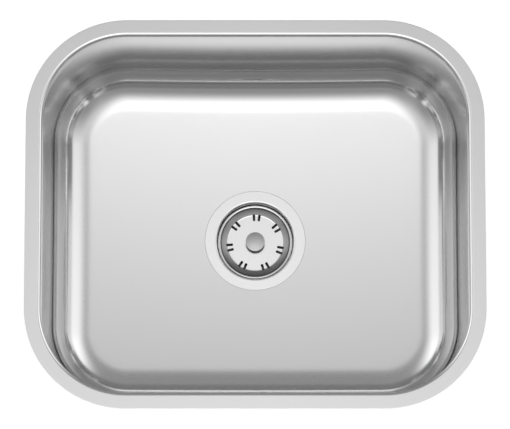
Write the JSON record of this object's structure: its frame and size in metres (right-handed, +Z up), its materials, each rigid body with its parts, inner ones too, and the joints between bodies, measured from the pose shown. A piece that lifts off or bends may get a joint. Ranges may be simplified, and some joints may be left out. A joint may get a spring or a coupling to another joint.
{
  "type": "drop-in sink",
  "caption": "Drop-in kitchen sink bowl of pressed stainless steel with rounded corners, a flat rim, swing-out clamps under the rim and a basket strainer that lifts out.",
  "frame": {"origin": "centre of the worktop plane, under the rim's foam seal, on the axis of the drain", "axes": "+X to the right along the long side, +Y to the back, +Z up"},
  "size_m": [0.5, 0.428, 0.3395],
  "materials": {
    "bowl_steel": "satin rim and floor, polished walls",
    "strainer_steel": "satin",
    "basket_steel": "polished",
    "knob_steel": "turned, satin",
    "knob_plastic": "moulded",
    "clamp_steel": "zinc plated",
    "claw_steel": "zinc plated",
    "nut_brass": "rough",
    "tail_chrome": "polished",
    "seal_rubber": "matte",
    "seal_foam": "closed-cell foam",
    "pad_bitumen": "matte",
    "ring_fibre": "pressed fibre",
    "washer_plastic": "moulded",
    "stem_plastic": "moulded"
  },
  "bodies": {
    "sink": {"sink_bowl": "bowl_steel", "rim_seal": "seal_foam", "sound_pads": "pad_bitumen", "clamp_brackets": "clamp_steel", "strainer_body": "strainer_steel", "outlet_collar": "nut_brass", "flange_seal": "seal_rubber", "body_gasket": "seal_rubber", "friction_ring": "ring_fibre", "locknut": "nut_brass", "tailpiece_washer": "washer_plastic", "tailpiece": "tail_chrome", "coupling_nut": "nut_brass"},
    "basket": {"basket_dish": "basket_steel", "basket_knob": "knob_plastic", "knob_cap": "knob_steel", "basket_stem": "stem_plastic", "stopper_seal": "seal_rubber", "stopper_washer": "clamp_steel"},
    "screw_back_left": {"clamp_screw_back_left": "clamp_steel"},
    "claw_back_left": {"clamp_claw_back_left": "claw_steel"},
    "screw_back_right": {"clamp_screw_back_right": "clamp_steel"},
    "claw_back_right": {"clamp_claw_back_right": "claw_steel"},
    "screw_front_right": {"clamp_screw_front_right": "clamp_steel"},
    "claw_front_right": {"clamp_claw_front_right": "claw_steel"},
    "screw_front_left": {"clamp_screw_front_left": "clamp_steel"},
    "claw_front_left": {"clamp_claw_front_left": "claw_steel"},
    "screw_left": {"clamp_screw_left": "clamp_steel"},
    "claw_left": {"clamp_claw_left": "claw_steel"},
    "screw_right": {"clamp_screw_right": "clamp_steel"},
    "claw_right": {"clamp_claw_right": "claw_steel"}
  },
  "joints": [
    {"name": "basket_lift", "type": "slide", "parent": "sink", "child": "basket", "axis": [0, 0, 1], "range_m": [0, 0.235]},
    {"name": "claw_swing_back_left", "type": "hinge", "parent": "sink", "child": "screw_back_left", "pos_m": [-0.11, 0.20202, -0.03], "axis": [0, 0, 1], "range_deg": [0, 90]},
    {"name": "claw_climb_back_left", "type": "slide", "parent": "screw_back_left", "child": "claw_back_left", "axis": [0, 0, 1], "range_m": [0, 0.02]},
    {"name": "claw_swing_back_right", "type": "hinge", "parent": "sink", "child": "screw_back_right", "pos_m": [0.11, 0.20202, -0.03], "axis": [0, 0, 1], "range_deg": [0, 90]},
    {"name": "claw_climb_back_right", "type": "slide", "parent": "screw_back_right", "child": "claw_back_right", "axis": [0, 0, 1], "range_m": [0, 0.02]},
    {"name": "claw_swing_front_right", "type": "hinge", "parent": "sink", "child": "screw_front_right", "pos_m": [0.11, -0.20202, -0.03], "axis": [0, 0, 1], "range_deg": [0, 90]},
    {"name": "claw_climb_front_right", "type": "slide", "parent": "screw_front_right", "child": "claw_front_right", "axis": [0, 0, 1], "range_m": [0, 0.02]},
    {"name": "claw_swing_front_left", "type": "hinge", "parent": "sink", "child": "screw_front_left", "pos_m": [-0.11, -0.20202, -0.03], "axis": [0, 0, 1], "range_deg": [0, 90]},
    {"name": "claw_climb_front_left", "type": "slide", "parent": "screw_front_left", "child": "claw_front_left", "axis": [0, 0, 1], "range_m": [0, 0.02]},
    {"name": "claw_swing_left", "type": "hinge", "parent": "sink", "child": "screw_left", "pos_m": [-0.23802, 0, -0.03], "axis": [0, 0, 1], "range_deg": [0, 90]},
    {"name": "claw_climb_left", "type": "slide", "parent": "screw_left", "child": "claw_left", "axis": [0, 0, 1], "range_m": [0, 0.02]},
    {"name": "claw_swing_right", "type": "hinge", "parent": "sink", "child": "screw_right", "pos_m": [0.23802, 0, -0.03], "axis": [0, 0, 1], "range_deg": [0, 90]},
    {"name": "claw_climb_right", "type": "slide", "parent": "screw_right", "child": "claw_right", "axis": [0, 0, 1], "range_m": [0, 0.02]}
  ]
}
